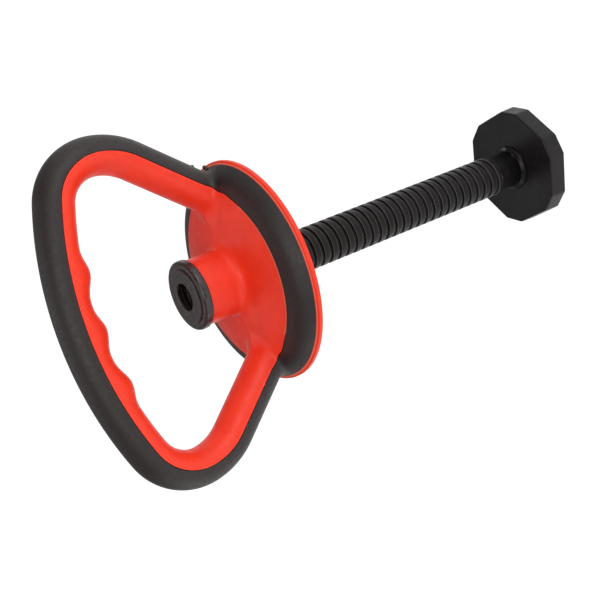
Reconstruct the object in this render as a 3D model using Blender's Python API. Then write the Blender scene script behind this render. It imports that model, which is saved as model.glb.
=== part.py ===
"""Adjustable kettlebell handle: a D-shaped loop over a domed flange, and a clamp bolt with a hexagonal foot.

Weight plates go on the bolt, which then screws up into the hub nut and clamps them under the flange.
The main axis is Z. The foot stands on z = 0, the loop lies in the XZ plane, and the grip runs along X at the top.
All sizes are in millimetres and are turned into metres where the meshes are made.
"""

import math

import bmesh
import bpy

MM = 0.001
GAP = 0.3  # clearance between pieces that touch

# Foot
FOOT_THICKNESS = 12.4
FOOT_RADIUS_BOTTOM = 37.4  # out to the cut corners
FOOT_RADIUS_TOP = 36.9
FOOT_CORNER_DIRECTION = math.radians(-22.2)
FOOT_CORNER_HALF_ANGLE = math.radians(10)

# Clamp bolt
THREAD_RADIUS = 12.5
ROOT_RADIUS = 11.15
SHANK_RADIUS = 11.0
PITCH = 6.06
CREST_OFFSET = -1.3  # height of a crest above each whole pitch, at the +X side
CREST_WIDTH = 3.9
SEGMENTS_PER_TURN = 16
THREAD_START = 30.5
SLEEVE_TOP = 241.0
TENON_ACROSS_FLATS = 19.0
TENON_DEPTH = 2.2
CORE_BOLT_RADIUS = 5.0
CORE_HEAD_RADIUS = 8.0
CORE_HEAD_HEIGHT = 10.0
NUT_ACROSS_FLATS = 16.0
NUT_HEIGHT = 5.0
PLUG_RADIUS = 11.5
PLUG_THICKNESS = 1.6

# Flange and hub
UNDERSIDE = 216.0  # height of the face that presses on the plates
RIM_RADIUS = 63.9
RIM_CHAMFER = 0.5
RIM_EDGE_HEIGHT = 1.6  # of the rim's upright edge
RIM_SLOPE = 1.7  # how far in the rim's slope reaches
RIM_HEIGHT = 3.1
SHELF_WIDTH = 3.6  # of the flat step that the skin's band stands on
DISC_RADIUS = 47.8
DISC_EDGE = UNDERSIDE + 12.3
DISC_STEP = 3.2  # height of the disc's upright edge, from the slope under the skin
DOME_RISE = 6.7
BOSS_RADIUS = 18.7
BOSS_CHAMFER = 0.5
BOSS_FILLET = 4.5
BOSS_END = UNDERSIDE + 38.6
HUB_TURN_SEGMENTS = 40

# Hub nut, its end cap and the plate that holds it
BARREL_RADIUS = 15.2
BARREL_START = UNDERSIDE + 2.6
HEAD_RADIUS = 19.7
HEAD_HEIGHT = 4.6
HEAD_BACK_CHAMFER = 1.0
HEAD_FRONT_CHAMFER = 2.4
CAP_RADIUS = 16.2
CAP_HOLE_RADIUS = 7.9
CAP_THICKNESS = 1.1
CAP_CHAMFER = 0.4
SPIGOT_RADIUS = 13.0
SPIGOT_LENGTH = 2.1
TAP_CLEARANCE = 0.4  # between the bolt's thread and the nut's
KEY_WIDTH = 4.0
KEY_RADIUS = 16.2
PLATE_RADIUS = 24.0
PLATE_BORE_RADIUS = 13.3
PLATE_THICKNESS = 2.0
SCREW_CIRCLE_RADIUS = 20.5
SCREW_LENGTH = 12.0
SCREW_COUNT = 3

# Loop: its centre line is a bowed grip, a tight corner, a wider shoulder and a straight arm on each side
GRIP_TOP = UNDERSIDE + 107.5  # centre line at the middle of the grip
BOW_RADIUS = 202.0
CORNER_RADIUS = 27.0
SHOULDER_RADIUS = 38.0
BOW_END = math.radians(20)  # headings, turned down from level
CORNER_END = math.radians(95)
SHOULDER_END = math.radians(130)
ARM_LENGTH = 50.0
HALF_DEPTH = 10.75  # of the tube, in the loop's plane
HALF_THICKNESS = 13.0  # of the tube, across the loop's plane
SKIN = 3.0
RIDGE_HEIGHT = 3.6
RIDGE_SPACING = 30.0

# Pockets under the flange
POCKET_COUNT = 12
RIB_THICKNESS = 3.2
POCKET_INNER_RADIUS = PLATE_RADIUS + 2.5
POCKET_OUTER_RADIUS = RIM_RADIUS - 9.9


def clear_scene():
    for thing in list(bpy.data.objects):
        bpy.data.objects.remove(thing, do_unlink=True)


def material(name, colour, roughness, metallic=0.0):
    made = bpy.data.materials.new(name)
    made.use_nodes = True
    shader = made.node_tree.nodes["Principled BSDF"]
    shader.inputs["Base Color"].default_value = (*colour, 1.0)
    shader.inputs["Roughness"].default_value = roughness
    shader.inputs["Metallic"].default_value = metallic
    return made


def solid(name, points, faces, look=None):
    """A closed mesh object from points in millimetres. With no look it is a hidden cutter."""
    mesh = bpy.data.meshes.new(name)
    mesh.from_pydata([(x * MM, y * MM, z * MM) for x, y, z in points], [], faces)
    shape = bmesh.new()
    shape.from_mesh(mesh)
    bmesh.ops.recalc_face_normals(shape, faces=shape.faces)
    shape.to_mesh(mesh)
    shape.free()
    made = bpy.data.objects.new(name, mesh)
    bpy.context.scene.collection.objects.link(made)
    if look:
        mesh.materials.append(look)
        mesh.shade_smooth()
        mesh.set_sharp_from_angle(angle=math.radians(35))
    else:
        made.hide_render = True
        made.display_type = "WIRE"
    return made


def combine(target, other, operation, solver="EXACT"):
    step = target.modifiers.new(operation.lower() + "_" + other.name, "BOOLEAN")
    step.object = other
    step.operation = operation
    step.solver = solver


def skinned(rings):
    """Points and faces of a tube through rings of equal length, closed by a cap at each end."""
    count = len(rings[0])
    points = [point for ring in rings for point in ring]
    faces = [list(range(count)), [len(points) - count + i for i in range(count)]]
    for row in range(len(rings) - 1):
        for i in range(count):
            here = row * count + i
            beside = row * count + (i + 1) % count
            faces.append([here, beside, beside + count, here + count])
    return points, faces


def joined(parts):
    """Several sets of points and faces as one set."""
    points = []
    faces = []
    for more_points, more_faces in parts:
        start = len(points)
        points += more_points
        faces += [[start + i for i in face] for face in more_faces]
    return points, faces


def turned(outline, segments, centre=(0.0, 0.0)):
    """Points and faces of an outline of (radius, height) turned about a vertical axis through centre."""
    points = []
    rows = []
    for radius, height in outline:
        steps = segments if radius > 0 else 1
        rows.append([len(points) + i for i in range(steps)])
        for i in range(steps):
            angle = math.tau * i / segments
            x = centre[0] + radius * math.cos(angle)
            y = centre[1] + radius * math.sin(angle)
            points.append((x, y, height))
    faces = []
    for row, lower in enumerate(rows):
        upper = rows[(row + 1) % len(rows)]
        for i in range(segments):
            corners = []
            for ring, step in ((lower, i), (lower, i + 1), (upper, i + 1), (upper, i)):
                corner = ring[step % len(ring)]
                if corner not in corners:
                    corners.append(corner)
            if len(corners) > 2:
                faces.append(corners)
    return points, faces


def prism(outline, low, high, top_scale=1.0):
    """Points and faces of a flat outline of (x, y) raised from one height to another."""
    bottom = [(x, y, low) for x, y in outline]
    top = [(x * top_scale, y * top_scale, high) for x, y in outline]
    return skinned([bottom, top])


def hexagon(across_flats):
    radius = across_flats / 2 / math.cos(math.pi / 6)
    angles = [math.tau * i / 6 for i in range(6)]
    return [(radius * math.cos(angle), radius * math.sin(angle)) for angle in angles]


def key_bars(width, radius, low, high):
    """Three upright bars that reach from inside the barrel's wall out to the given radius."""
    inner = BARREL_RADIUS - 1.2
    bars = []
    for i in range(3):
        turn = math.tau * (i + 0.5) / 3
        across = (-math.sin(turn) * width / 2, math.cos(turn) * width / 2)
        outline = []
        for reach, side in ((inner, -1), (radius, -1), (radius, 1), (inner, 1)):
            x = reach * math.cos(turn) + side * across[0]
            y = reach * math.sin(turn) + side * across[1]
            outline.append((x, y))
        bars.append(prism(outline, low, high))
    return joined(bars)


# ---------------------------------------------------------------- the thread


def helix(crest_radius, root_radius, crest_width, low, high):
    """Points and faces of a right-hand screw with flat crests and V grooves, capped at both ends."""
    turns = math.ceil((high - low) / PITCH)
    first_turn = math.floor(low / PITCH)
    profile = (
        (crest_radius, -crest_width / 2),
        (crest_radius, crest_width / 2),
        (root_radius, PITCH / 2),
    )
    last = turns * SEGMENTS_PER_TURN
    points = []
    for i in range(last + 1):
        angle = math.tau * i / SEGMENTS_PER_TURN
        rise = PITCH * (first_turn + i / SEGMENTS_PER_TURN) + CREST_OFFSET
        for radius, offset in profile:
            points.append((radius * math.cos(angle), radius * math.sin(angle), rise + offset))
    faces = []
    for i in range(last):
        here = 3 * i
        faces.append([here, here + 3, here + 4, here + 1])
        faces.append([here + 1, here + 4, here + 5, here + 2])
        above = here + 3 * SEGMENTS_PER_TURN
        if above + 3 < len(points):
            faces.append([here + 2, here + 5, above + 3, above])
    bottom_edge = [3 * i for i in range(SEGMENTS_PER_TURN + 1)] + [2, 1]
    top_edge = [3 * i + 2 for i in range(last - SEGMENTS_PER_TURN, last + 1)]
    top_edge += [3 * last + 1, 3 * last]
    for edge, end in ((bottom_edge, first_turn), (top_edge, first_turn + turns)):
        points.append((0.0, 0.0, PITCH * end + CREST_OFFSET))
        for i, corner in enumerate(edge):
            faces.append([corner, edge[(i + 1) % len(edge)], len(points) - 1])
    return points, faces


# ---------------------------------------------------------------- the loop's centre line and sections


def ridge(x):
    """Height of the finger ridges at this place along the grip."""
    if abs(x) > 1.5 * RIDGE_SPACING:
        return 0.0
    wave = (1 + math.cos(math.tau * x / RIDGE_SPACING)) / 2
    return RIDGE_HEIGHT * wave**1.3


def half_centre_line():
    """Stations (x, z, heading) from the middle of the grip down to the end of the +X arm."""
    stretches = (
        (BOW_RADIUS, 0.0, BOW_END, 14),
        (CORNER_RADIUS, BOW_END, CORNER_END, 7),
        (SHOULDER_RADIUS, CORNER_END, SHOULDER_END, 4),
    )
    x, z = 0.0, GRIP_TOP
    stations = [(x, z, 0.0)]
    for radius, start, end, steps in stretches:
        centre_x = x - radius * math.sin(start)
        centre_z = z - radius * math.cos(start)
        for i in range(1, steps + 1):
            heading = start + (end - start) * i / steps
            x = centre_x + radius * math.sin(heading)
            z = centre_z + radius * math.cos(heading)
            stations.append((x, z, heading))
    x += ARM_LENGTH * math.cos(SHOULDER_END)
    z -= ARM_LENGTH * math.sin(SHOULDER_END)
    stations.append((x, z, SHOULDER_END))
    return stations


def centre_line():
    """Stations along the whole loop, from the end of the -X arm to the end of the +X arm."""
    half = half_centre_line()
    mirrored = [(-x, z, -heading) for x, z, heading in reversed(half[1:])]
    return mirrored + half


def half_ellipse(half_width, depth, steps):
    """Points (across, outward) from +half_width over depth to -half_width."""
    angles = [math.pi * i / steps for i in range(steps + 1)]
    return [(half_width * math.cos(angle), depth * math.sin(angle)) for angle in angles]


def core_section(x):
    """The hard core: full size on the loop's inner side, and stepped in under the skin on its outer side."""
    inset = SKIN + GAP
    inner = half_ellipse(-HALF_THICKNESS, -HALF_DEPTH - ridge(x), 8)
    outer = half_ellipse(HALF_THICKNESS - inset, HALF_DEPTH - inset, 6)
    return inner + outer


def core_room_section(x):
    """The core's section grown by the gap, which is cut from the skin."""
    inner = half_ellipse(-HALF_THICKNESS - GAP, -HALF_DEPTH - ridge(x) - GAP, 8)
    outer = half_ellipse(HALF_THICKNESS - SKIN, HALF_DEPTH - SKIN, 6)
    outer[0] = (outer[0][0], GAP)
    outer[-1] = (outer[-1][0], GAP)
    inner[0] = (inner[0][0], GAP)
    inner[-1] = (inner[-1][0], GAP)
    return inner + outer


def skin_section(_x):
    """The outer half of the tube, filled."""
    outer = half_ellipse(HALF_THICKNESS, HALF_DEPTH, 8)
    return outer + [(-HALF_THICKNESS, -1.0), (HALF_THICKNESS, -1.0)]


def swept(section):
    """Points and faces of a section carried along the loop's centre line."""
    rings = []
    for x, z, heading in centre_line():
        ring = []
        for across, outward in section(x):
            ring.append((x + outward * math.sin(heading), across, z + outward * math.cos(heading)))
        rings.append(ring)
    return skinned(rings)


# ---------------------------------------------------------------- the flange


def dome_height(radius):
    return DISC_EDGE + DOME_RISE * (1 - (radius / DISC_RADIUS) ** 2)


def dome_and_boss():
    """Outline from the disc's edge over the dome and the fillet to the end of the boss."""
    fillet_start = BOSS_RADIUS + BOSS_FILLET
    outline = []
    for i in range(6):
        radius = DISC_RADIUS + (fillet_start - DISC_RADIUS) * i / 5
        outline.append((radius, dome_height(radius)))
    fillet_top = dome_height(fillet_start) + BOSS_FILLET
    for degrees in (30, 60, 90):
        angle = math.radians(degrees)
        radius = fillet_start - BOSS_FILLET * math.sin(angle)
        outline.append((radius, fillet_top - BOSS_FILLET * math.cos(angle)))
    return outline + [(BOSS_RADIUS, BOSS_END - BOSS_CHAMFER), (BOSS_RADIUS - BOSS_CHAMFER, BOSS_END)]


def flange_outline(gap=0.0):
    """The hard flange: rim, stepped-in slope under the skin, dome and boss. A gap grows the slope and disc."""
    bore = BARREL_RADIUS + GAP
    recess = PLATE_RADIUS + GAP
    shelf = UNDERSIDE + RIM_HEIGHT + gap
    return [
        (bore, BARREL_START),
        (recess, BARREL_START),
        (recess, UNDERSIDE),
        (RIM_RADIUS - RIM_CHAMFER, UNDERSIDE),
        (RIM_RADIUS, UNDERSIDE + RIM_CHAMFER),
        (RIM_RADIUS, UNDERSIDE + RIM_EDGE_HEIGHT),
        (RIM_RADIUS - RIM_SLOPE, shelf),
        (RIM_RADIUS - RIM_SLOPE - SHELF_WIDTH + 0.5 * gap, shelf),
        (DISC_RADIUS + gap, DISC_EDGE - DISC_STEP + 0.6 * gap),
        *[(radius + gap, height) for radius, height in dome_and_boss()],
        (bore, BOSS_END),
    ]


def band_outline():
    """The skin on the flange's slope, bulged outwards, and reaching into the core that is cut from it."""
    low = (RIM_RADIUS - RIM_SLOPE - 0.2, UNDERSIDE + RIM_HEIGHT)
    high = (DISC_RADIUS + 0.9, DISC_EDGE - 0.5)
    bulge = 2.0
    steps = 6
    run = high[0] - low[0]
    rise = high[1] - low[1]
    length = math.hypot(run, rise)
    outline = []
    for i in range(steps + 1):
        part = i / steps
        swell = bulge * math.sin(math.pi * part)
        radius = low[0] + run * part + swell * rise / length
        height = low[1] + rise * part - swell * run / length
        outline.append((radius, height))
    return outline + [(DISC_RADIUS - 1.5, high[1]), (DISC_RADIUS - 1.5, low[1])]


def pockets():
    """Points and faces of the hollows moulded into the flange's underside, which leave radial ribs."""
    outline = (
        (POCKET_INNER_RADIUS, UNDERSIDE - 1),
        (POCKET_OUTER_RADIUS, UNDERSIDE - 1),
        (POCKET_OUTER_RADIUS, UNDERSIDE + 2.6),
        (DISC_RADIUS - 3.0, UNDERSIDE + 7.0),
        (POCKET_INNER_RADIUS, UNDERSIDE + 13.2),
    )
    hollows = []
    for i in range(POCKET_COUNT):
        middle = math.tau * (i + 0.5) / POCKET_COUNT
        rings = []
        for side in (-1, 0, 1):
            ring = []
            for radius, height in outline:
                half_angle = math.pi / POCKET_COUNT - math.asin(RIB_THICKNESS / 2 / radius)
                angle = middle + side * half_angle
                ring.append((radius * math.cos(angle), radius * math.sin(angle), height))
            rings.append(ring)
        hollows.append(skinned(rings))
    return joined(hollows)


# ---------------------------------------------------------------- the retaining screws


def screw_places():
    places = []
    for i in range(SCREW_COUNT):
        angle = math.tau * (i + 0.25) / SCREW_COUNT
        places.append((SCREW_CIRCLE_RADIUS * math.cos(angle), SCREW_CIRCLE_RADIUS * math.sin(angle)))
    return places


def screw_outline(gap=0.0):
    """A countersunk screw, head down."""
    head = UNDERSIDE + 0.5
    return [
        (0.0, head - 3 * gap),
        (3.0 + gap, head - 3 * gap),
        (3.0 + gap, head),
        (1.4 + gap, head + 1.6),
        (1.4 + gap, head + SCREW_LENGTH - 1.5 + gap),
        (0.0, head + SCREW_LENGTH + gap),
    ]


# ---------------------------------------------------------------- the pieces


def handle_core(look, screw_room):
    core = solid("handle_core", *swept(core_section), look)
    flange = solid("cut_flange", *turned(flange_outline(), HUB_TURN_SEGMENTS))
    slots = solid(
        "cut_key_slots",
        *key_bars(KEY_WIDTH + 2 * GAP, KEY_RADIUS + GAP, UNDERSIDE + 1, BOSS_END + 1),
    )
    bore_room = solid(
        "cut_hub_bore",
        *turned(
            [
                (0.0, UNDERSIDE - 1),
                (BARREL_RADIUS + GAP, UNDERSIDE - 1),
                (BARREL_RADIUS + GAP, BOSS_END + 1),
                (0.0, BOSS_END + 1),
            ],
            HUB_TURN_SEGMENTS,
        ),
    )
    combine(core, flange, "UNION")
    combine(core, solid("cut_pockets", *pockets()), "DIFFERENCE")
    combine(core, bore_room, "DIFFERENCE")
    combine(core, slots, "DIFFERENCE")
    combine(core, screw_room, "DIFFERENCE")
    return core


def grip_skin(look):
    skin = solid("grip_skin", *swept(skin_section), look)
    band = solid("cut_band", *turned(band_outline(), HUB_TURN_SEGMENTS))
    core_room = solid("cut_core_room", *swept(core_room_section))
    flange_room = solid("cut_flange_room", *turned(flange_outline(GAP), HUB_TURN_SEGMENTS))
    combine(skin, band, "UNION")
    combine(skin, core_room, "DIFFERENCE")
    combine(skin, flange_room, "DIFFERENCE")
    return skin


def hub_nut(look):
    minor = ROOT_RADIUS + 0.5
    head = BOSS_END + GAP
    recess = head + HEAD_HEIGHT - SPIGOT_LENGTH - GAP
    outline = [
        (minor, BARREL_START),
        (BARREL_RADIUS, BARREL_START),
        (BARREL_RADIUS, head),
        (HEAD_RADIUS - HEAD_BACK_CHAMFER, head),
        (HEAD_RADIUS, head + HEAD_BACK_CHAMFER),
        (HEAD_RADIUS, head + HEAD_HEIGHT - HEAD_FRONT_CHAMFER),
        (HEAD_RADIUS - HEAD_FRONT_CHAMFER, head + HEAD_HEIGHT),
        (SPIGOT_RADIUS + GAP, head + HEAD_HEIGHT),
        (SPIGOT_RADIUS + GAP, recess),
        (minor, recess),
    ]
    nut = solid("hub_nut", *turned(outline, HUB_TURN_SEGMENTS), look)
    keys = solid("cut_keys", *key_bars(KEY_WIDTH, KEY_RADIUS, BARREL_START + 0.5, BOSS_END - 1))
    tap = solid(
        "cut_tap",
        *helix(
            THREAD_RADIUS + TAP_CLEARANCE,
            ROOT_RADIUS + 0.2,
            CREST_WIDTH + 2 * TAP_CLEARANCE,
            BARREL_START - 2 * PITCH,
            BOSS_END + 2 * PITCH,
        ),
    )
    combine(nut, keys, "UNION")
    combine(nut, tap, "DIFFERENCE", "MANIFOLD")
    return nut


def hub_end_cap(look):
    base = BOSS_END + GAP + HEAD_HEIGHT + GAP
    outline = [
        (CAP_HOLE_RADIUS, base - SPIGOT_LENGTH),
        (SPIGOT_RADIUS, base - SPIGOT_LENGTH),
        (SPIGOT_RADIUS, base),
        (CAP_RADIUS, base),
        (CAP_RADIUS, base + CAP_THICKNESS - CAP_CHAMFER),
        (CAP_RADIUS - CAP_CHAMFER, base + CAP_THICKNESS),
        (CAP_HOLE_RADIUS, base + CAP_THICKNESS),
    ]
    return solid("hub_end_cap", *turned(outline, HUB_TURN_SEGMENTS), look)


def nut_retaining_plate(look, screw_room):
    low = UNDERSIDE + GAP
    outline = [
        (PLATE_BORE_RADIUS, low),
        (PLATE_RADIUS, low),
        (PLATE_RADIUS, low + PLATE_THICKNESS),
        (PLATE_BORE_RADIUS, low + PLATE_THICKNESS),
    ]
    plate = solid("nut_retaining_plate", *turned(outline, HUB_TURN_SEGMENTS), look)
    combine(plate, screw_room, "DIFFERENCE")
    return plate


def retaining_screws(look):
    for i, centre in enumerate(screw_places(), start=1):
        solid(f"retaining_screw_{i}", *turned(screw_outline(), 12, centre), look)


def thread_sleeve(look):
    trim = solid(
        "cut_thread_ends",
        *turned(
            [
                (0.0, THREAD_START),
                (THREAD_RADIUS + 1, THREAD_START),
                (THREAD_RADIUS + 1, SLEEVE_TOP - 2.5),
                (ROOT_RADIUS - 0.4, SLEEVE_TOP),
                (0.0, SLEEVE_TOP),
            ],
            SEGMENTS_PER_TURN,
        ),
    )
    shank = solid(
        "cut_shank",
        *turned(
            [
                (0.0, FOOT_THICKNESS + GAP),
                (SHANK_RADIUS, FOOT_THICKNESS + GAP),
                (SHANK_RADIUS, THREAD_START + 2),
                (0.0, THREAD_START + 2),
            ],
            24,
        ),
    )
    tenon_low = FOOT_THICKNESS - TENON_DEPTH + GAP
    tenon = solid("cut_tenon", *prism(hexagon(TENON_ACROSS_FLATS), tenon_low, FOOT_THICKNESS + 1))
    bore = solid(
        "cut_sleeve_bore",
        *turned(
            [
                (0.0, 0.0),
                (CORE_BOLT_RADIUS + GAP, 0.0),
                (CORE_BOLT_RADIUS + GAP, SLEEVE_TOP - CORE_HEAD_HEIGHT - 1),
                (CORE_HEAD_RADIUS + GAP, SLEEVE_TOP - CORE_HEAD_HEIGHT - 1),
                (CORE_HEAD_RADIUS + GAP, SLEEVE_TOP + 1),
                (0.0, SLEEVE_TOP + 1),
            ],
            20,
        ),
    )
    screw = helix(THREAD_RADIUS, ROOT_RADIUS, CREST_WIDTH, THREAD_START - PITCH, SLEEVE_TOP + PITCH)
    sleeve = solid("thread_sleeve", *screw, look)
    combine(sleeve, trim, "INTERSECT")
    combine(sleeve, shank, "UNION", "MANIFOLD")
    combine(sleeve, tenon, "UNION", "MANIFOLD")
    combine(sleeve, bore, "DIFFERENCE", "MANIFOLD")
    return sleeve


def core_bolt(look):
    low = PLUG_THICKNESS + 2 * GAP
    seat = SLEEVE_TOP - CORE_HEAD_HEIGHT - 1 + GAP
    top = seat + CORE_HEAD_HEIGHT
    outline = [
        (0.0, low),
        (CORE_BOLT_RADIUS - 0.8, low),
        (CORE_BOLT_RADIUS, low + 0.8),
        (CORE_BOLT_RADIUS, seat),
        (CORE_HEAD_RADIUS, seat),
        (CORE_HEAD_RADIUS, top - 0.6),
        (CORE_HEAD_RADIUS - 0.6, top),
        (0.0, top),
    ]
    bolt = solid("core_bolt", *turned(outline, 20), look)
    combine(bolt, solid("cut_hex_key", *prism(hexagon(8.0), top - 5, top + 1)), "DIFFERENCE")
    return bolt


def core_nut(look):
    low = PLUG_THICKNESS + 2 * GAP
    nut = solid("core_nut", *prism(hexagon(NUT_ACROSS_FLATS), low, low + NUT_HEIGHT), look)
    hole_radius = CORE_BOLT_RADIUS + GAP
    hole = solid(
        "cut_nut_hole",
        *turned([(0.0, 0.0), (hole_radius, 0.0), (hole_radius, 20.0), (0.0, 20.0)], 20),
    )
    combine(nut, hole, "DIFFERENCE")
    return nut


def hex_foot(look):
    outline = []
    for i in range(6):
        middle = FOOT_CORNER_DIRECTION + math.tau * i / 6
        for side in (-1, 1):
            angle = middle + side * FOOT_CORNER_HALF_ANGLE
            outline.append((FOOT_RADIUS_BOTTOM * math.cos(angle), FOOT_RADIUS_BOTTOM * math.sin(angle)))
    draft = FOOT_RADIUS_TOP / FOOT_RADIUS_BOTTOM
    foot = solid("hex_foot", *prism(outline, 0.0, FOOT_THICKNESS, draft), look)
    rounding = foot.modifiers.new("edges", "BEVEL")
    rounding.width = 0.8 * MM
    rounding.segments = 2
    rounding.limit_method = "ANGLE"
    plug_room = solid(
        "cut_plug_room",
        *turned(
            [
                (0.0, -1.0),
                (PLUG_RADIUS + GAP, -1.0),
                (PLUG_RADIUS + GAP, PLUG_THICKNESS + GAP + 0.1),
                (0.0, PLUG_THICKNESS + GAP + 0.1),
            ],
            32,
        ),
    )
    nut_top = PLUG_THICKNESS + 3 * GAP + NUT_HEIGHT
    nut_room = solid("cut_nut_room", *prism(hexagon(NUT_ACROSS_FLATS + 2 * GAP), 0.5, nut_top))
    tenon_low = FOOT_THICKNESS - TENON_DEPTH
    tenon_room = solid(
        "cut_tenon_room",
        *prism(hexagon(TENON_ACROSS_FLATS + 2 * GAP), tenon_low, FOOT_THICKNESS + 1),
    )
    hole_radius = CORE_BOLT_RADIUS + GAP
    hole = solid(
        "cut_foot_hole",
        *turned([(0.0, 1.0), (hole_radius, 1.0), (hole_radius, 20.0), (0.0, 20.0)], 20),
    )
    for room in (plug_room, nut_room, tenon_room, hole):
        combine(foot, room, "DIFFERENCE")
    return foot


def foot_plug(look):
    low = GAP
    outline = [
        (0.0, low),
        (PLUG_RADIUS - 0.4, low),
        (PLUG_RADIUS, low + 0.4),
        (PLUG_RADIUS, low + PLUG_THICKNESS),
        (0.0, low + PLUG_THICKNESS),
    ]
    return solid("foot_plug", *turned(outline, 32), look)


def thrust_washer(look):
    low = FOOT_THICKNESS + GAP
    inner = ROOT_RADIUS + GAP
    outline = [
        (inner, low),
        (inner + 2.6, low),
        (inner + 2.6, low + 1.4),
        (inner + 1.4, low + 2.6),
        (inner, low + 2.6),
    ]
    return solid("thrust_washer", *turned(outline, 32), look)


def build():
    clear_scene()
    red_plastic = material("red_plastic", (0.76, 0.05, 0.03), 0.42)
    soft_skin = material("soft_skin", (0.045, 0.042, 0.042), 0.6)
    black_plastic = material("black_plastic", (0.02, 0.018, 0.018), 0.35)
    steel = material("steel", (0.6, 0.6, 0.6), 0.35, 1.0)
    grown_screws = joined([turned(screw_outline(GAP), 12, centre) for centre in screw_places()])
    screw_room = solid("cut_screw_room", *grown_screws)

    handle_core(red_plastic, screw_room)
    grip_skin(soft_skin)
    hub_nut(black_plastic)
    hub_end_cap(black_plastic)
    nut_retaining_plate(steel, screw_room)
    retaining_screws(steel)

    bolt_axis = bpy.data.objects.new("bolt_axis", None)
    bpy.context.scene.collection.objects.link(bolt_axis)
    moving = (
        thread_sleeve(black_plastic),
        core_bolt(steel),
        core_nut(steel),
        hex_foot(black_plastic),
        foot_plug(black_plastic),
        thrust_washer(black_plastic),
    )
    for piece in moving:
        piece.parent = bolt_axis


build()
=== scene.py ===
"""Looks of an adjustable kettlebell handle: a two-tone loop over a domed flange, and its threaded bolt.

Sizes are in millimetres, in the same frame as the CAD part, and turn into metres where the meshes are
made. The loop and flange are made as the zero surface of a distance field, so that arms, dome and skin
flow into each other. The bolt, hub pieces and foot are turned, swept or bevelled meshes.
"""

import math

import bmesh
import bpy
import numpy as np
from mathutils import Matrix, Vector


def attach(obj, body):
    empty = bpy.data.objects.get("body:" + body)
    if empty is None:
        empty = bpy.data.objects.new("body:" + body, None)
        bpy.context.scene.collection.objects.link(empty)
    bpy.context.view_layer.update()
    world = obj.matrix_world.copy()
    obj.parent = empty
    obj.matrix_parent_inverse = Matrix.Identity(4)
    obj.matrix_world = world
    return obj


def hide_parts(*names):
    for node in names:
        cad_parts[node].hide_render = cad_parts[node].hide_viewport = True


MM = 0.001
SMOOTH_TURN = 160  # segments round a turned piece

# Flange and hub
UNDERSIDE = 216.0
RIM_RADIUS = 63.9
SHELF_HEIGHT = 219.1  # the step that the skin's band stands on
SHELF_RADIUS = 58.6  # where the shelf ends, under the skin
BAND_RADIUS = 62.0
BAND_BULGE = 2.0
RIM_HIGHLIGHT_RADIUS = 62.3  # where a painted highlight runs round the rim, on the edge of its step
# How wide the painted highlights along the rim's and the disc's edges are
EDGE_HIGHLIGHT_WIDTH = 0.9
DISC_RADIUS = 47.95
DISC_EDGE = 228.3
DISC_FLARE = 2.0  # how far the disc's edge widens per millimetre of height, where the arms leave it
DISC_HIGHLIGHT_REACH = 36.0  # how far the painted highlight on the disc's edge runs each way, short of the arms
DOME_RISE = 6.7
BOSS_RADIUS = 18.7
BOSS_END = 254.6
BORE_RADIUS = 15.5
PLATE_ROOM_RADIUS = 24.3  # the recess for the nut's retaining plate
BARREL_START = 218.6  # the nut's lower end
HUB_WALL = 3.0  # of the flange's base round the plate's recess
HUB_FLOOR = 4.0  # of the flange's base above the recess
BLEND = 4.5  # how softly the arms flow into the dome and the skin's band

# Nut, cap and retaining plate
HUB_GAP = 0.25  # between the boss's end and the nut's head
HEAD_HEIGHT = 5.0
HEAD_RADIUS = 19.75
TAP_RADIUS = 11.65  # the nut's hole before it is threaded
TAP_CLEARANCE = 0.4
CAP_RADIUS = 15.8
CAP_HOLE_RADIUS = 7.9
CAP_FRONT = 260.9
CAP_FACE = 1.5  # how thick the cap's face is around its hole
PLATE_INNER_RADIUS = 13.3
PLATE_OUTER_RADIUS = 24.0
PLATE_LOW = UNDERSIDE + 0.3
PLATE_THICKNESS = 2.0
SCREW_CIRCLE = 20.5
SCREW_COUNT = 3
SCREW_ROOM_RADIUS = 1.7
SCREW_HEAD_ROOM_RADIUS = 3.3

# Loop
GRIP_TOP = 323.5
HALF_DEPTH = 10.75
HALF_THICKNESS = 13.0
RIDGE_HEIGHT = 3.6
RIDGE_SPACING = 30.0
ARCS = (  # radius and the headings, in degrees, between which each arc of the centre line runs
    (202.0, 0.0, 20.0),
    (27.0, 20.0, 95.0),
    (38.0, 95.0, 130.0),
)
ARM_LENGTH = 50.0
SEAM = 0.24  # half the width of the fine gap between core and skin
PARTING_STEP = 0.14  # where the two halves of the core's mould meet, in the plane of the loop
FIELD_STEP = 0.8  # distance between the points of the loop's and flange's surface

# Bolt and foot
THREAD_RADIUS = 12.5
ROOT_RADIUS = 11.1
PITCH = 6.06
CREST_OFFSET = -1.3  # height of the crest at +X, past a whole number of turns
THREAD_START = 30.5
SLEEVE_TOP = 241.0
SLEEVE_CHAMFER = 2.5
CORE_HOLE_RADIUS = 5.3  # for the steel bolt through the sleeve and foot
CORE_HEAD_RADIUS = 8.3
CORE_HEAD_DEPTH = 11.0
CORE_NUT_ROOM = 16.6  # the nut's pocket in the foot, across its flats
CORE_NUT_ROOM_HEIGHTS = (1.0, 7.5)
PLUG_RADIUS = 11.5
FOOT_THICKNESS = 12.4
FOOT_GAP = 0.3  # between the foot and the pieces on and in it
FOOT_RADII = (37.4, 36.9)  # out to the cut corners, at the bottom and the top
FOOT_TURN = -22.2  # degrees from +X to the middle of the first cut corner
CUT_CORNER = 10.0  # degrees from the middle of a cut corner to its ends

FLOOR_HEIGHT = -12.6  # just under the foot when the bolt is screwed all the way down
OBJECT_MIDDLE = Vector((0.0, 0.0, 200.0))  # what the lamps are aimed at
LAMP_DISTANCE = 1400.0


# ---------------------------------------------------------------- meshes


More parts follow.
